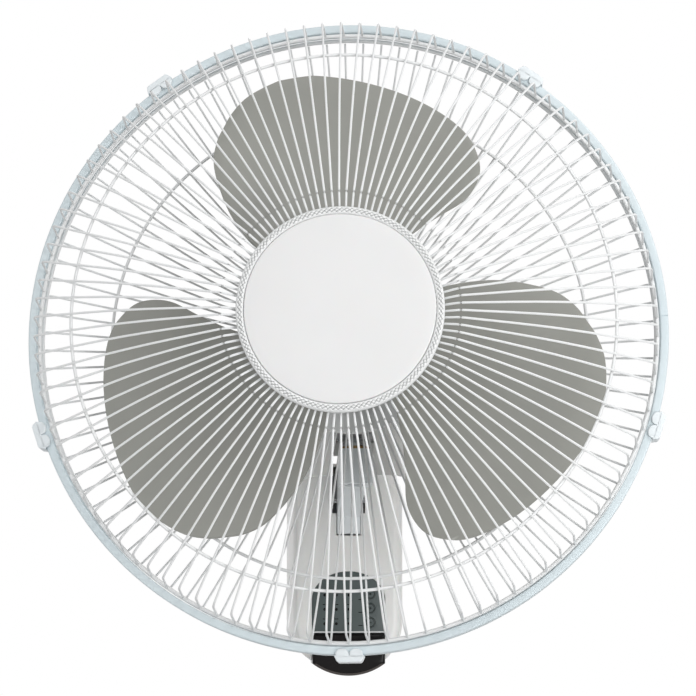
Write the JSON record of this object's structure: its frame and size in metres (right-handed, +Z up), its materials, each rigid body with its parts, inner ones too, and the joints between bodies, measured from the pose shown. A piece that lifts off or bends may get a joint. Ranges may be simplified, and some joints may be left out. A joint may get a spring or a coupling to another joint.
{
  "type": "wall fan",
  "caption": "Wall mounted fan: tilting, swinging motor head with a round wire guard and three-blade impeller on a wall body with a button panel.",
  "frame": {"origin": "centre of the wall plate's back face, on the wall", "axes": "+Z up, the fan faces -Y, +X to the viewer's right; the wall is the plane y = 0"},
  "size_m": [0.4481, 0.3593, 0.4738],
  "materials": {
    "white_plastic": "satin moulded white plastic",
    "cool_plastic": "satin moulded pale blue-grey plastic",
    "white_wire": "white baked enamel on round steel wire",
    "blade_grey": "satin moulded grey plastic",
    "panel_grey": "dark slate printed panel, satin",
    "gloss_black": "polished black infrared window",
    "dark_plastic": "dark moulded plastic",
    "steel": "zinc plated steel",
    "cast_metal": "die-cast metal",
    "core_steel": "stacked lamination steel",
    "copper": "varnished copper winding",
    "bronze": "sintered bronze",
    "board_green": "circuit board with green lacquer"
  },
  "bodies": {
    "base": {"wall_plate": "steel", "rear_shell": "white_plastic", "front_shell": "white_plastic", "control_panel": "panel_grey", "receiver_lens": "gloss_black", "control_board": "board_green", "power_board": "board_green", "tilt_bracket": "steel", "tilt_bolt": "steel", "tilt_nut": "steel", "cable_gland": "dark_plastic", "shell_screw_1": "steel", "shell_screw_2": "steel", "shell_screw_3": "steel", "shell_screw_4": "steel"},
    "neck": {"neck_arm": "cool_plastic", "swivel_bush": "bronze"},
    "head": {"swivel_yoke": "cast_metal", "swivel_shaft": "steel", "swivel_collar": "steel", "swing_motor": "cast_metal", "capacitor": "dark_plastic", "motor_front_cover": "white_plastic", "motor_rear_cover": "white_plastic", "rear_cover_screw": "steel", "front_bracket": "cast_metal", "rear_bracket": "cast_metal", "front_bearing": "bronze", "rear_bearing": "bronze", "stator_core": "core_steel", "front_winding": "copper", "rear_winding": "copper", "rear_grille": "white_wire", "rear_ring_wire": "white_wire", "rear_rim_wire": "white_wire", "grille_nut": "white_plastic", "front_grille": "white_wire", "front_ring_wire": "white_wire", "front_rim_wire": "white_wire", "clamp_ring": "cool_plastic", "centre_cap": "white_plastic", "cap_ring": "white_plastic"},
    "rotor": {"motor_shaft": "steel", "rotor_core": "core_steel", "impeller": "blade_grey", "spinner_nut": "dark_plastic", "drive_pin": "steel"},
    "crank": {"crank_disc": "dark_plastic"},
    "latch_1": {"latch_1": "cool_plastic"},
    "latch_2": {"latch_2": "cool_plastic"},
    "latch_3": {"latch_3": "cool_plastic"},
    "latch_4": {"latch_4": "cool_plastic"},
    "latch_5": {"latch_5": "cool_plastic"},
    "button_1": {"button_1": "panel_grey"},
    "button_2": {"button_2": "panel_grey"},
    "button_3": {"button_3": "panel_grey"}
  },
  "joints": [
    {"name": "tilt", "type": "hinge", "parent": "base", "child": "neck", "pos_m": [0, -0.088, 0.057], "axis": [-1, 0, 0], "range_deg": [-26, 9]},
    {"name": "swing", "type": "hinge", "parent": "neck", "child": "head", "pos_m": [0, -0.15148, 0.16101], "axis": [0, 0.1045, 0.9945], "range_deg": [-32.5, 47.5]},
    {"name": "spin", "type": "hinge", "parent": "head", "child": "rotor", "pos_m": [-0.01371, -0.25501, 0.17189], "axis": [-0.1305, -0.986, 0.1036], "continuous": true},
    {"name": "crank_spin", "type": "hinge", "parent": "head", "child": "crank", "pos_m": [0.00313, -0.13387, 0.10083], "axis": [0, 0.1045, 0.9945], "continuous": true},
    {"name": "latch_1_hinge", "type": "hinge", "parent": "head", "child": "latch_1", "pos_m": [0.11986, -0.24524, 0.35584], "axis": [-0.8021, 0.1665, 0.5735], "range_deg": [0, 70]},
    {"name": "latch_2_hinge", "type": "hinge", "parent": "head", "child": "latch_2", "pos_m": [0.20176, -0.28254, 0.10412], "axis": [0.3064, 0.0593, 0.9501], "range_deg": [0, 70]},
    {"name": "latch_3_hinge", "type": "hinge", "parent": "head", "child": "latch_3", "pos_m": [-0.01266, -0.27089, -0.0551], "axis": [0.9914, -0.1298, 0.0136], "range_deg": [0, 70]},
    {"name": "latch_4_hinge", "type": "hinge", "parent": "head", "child": "latch_4", "pos_m": [-0.22708, -0.22639, 0.09822], "axis": [0.3064, -0.1395, -0.9416], "range_deg": [0, 70]},
    {"name": "latch_5_hinge", "type": "hinge", "parent": "head", "child": "latch_5", "pos_m": [-0.14518, -0.21054, 0.3522], "axis": [-0.8021, 0.0436, -0.5956], "range_deg": [0, 70]},
    {"name": "button_1_press", "type": "slide", "parent": "base", "child": "button_1", "axis": [0, 1, 0], "range_m": [0, 0.0008], "stiffness_N_per_m": 2500},
    {"name": "button_2_press", "type": "slide", "parent": "base", "child": "button_2", "axis": [0, 1, 0], "range_m": [0, 0.0008], "stiffness_N_per_m": 2500},
    {"name": "button_3_press", "type": "slide", "parent": "base", "child": "button_3", "axis": [0, 1, 0], "range_m": [0, 0.0008], "stiffness_N_per_m": 2500}
  ]
}
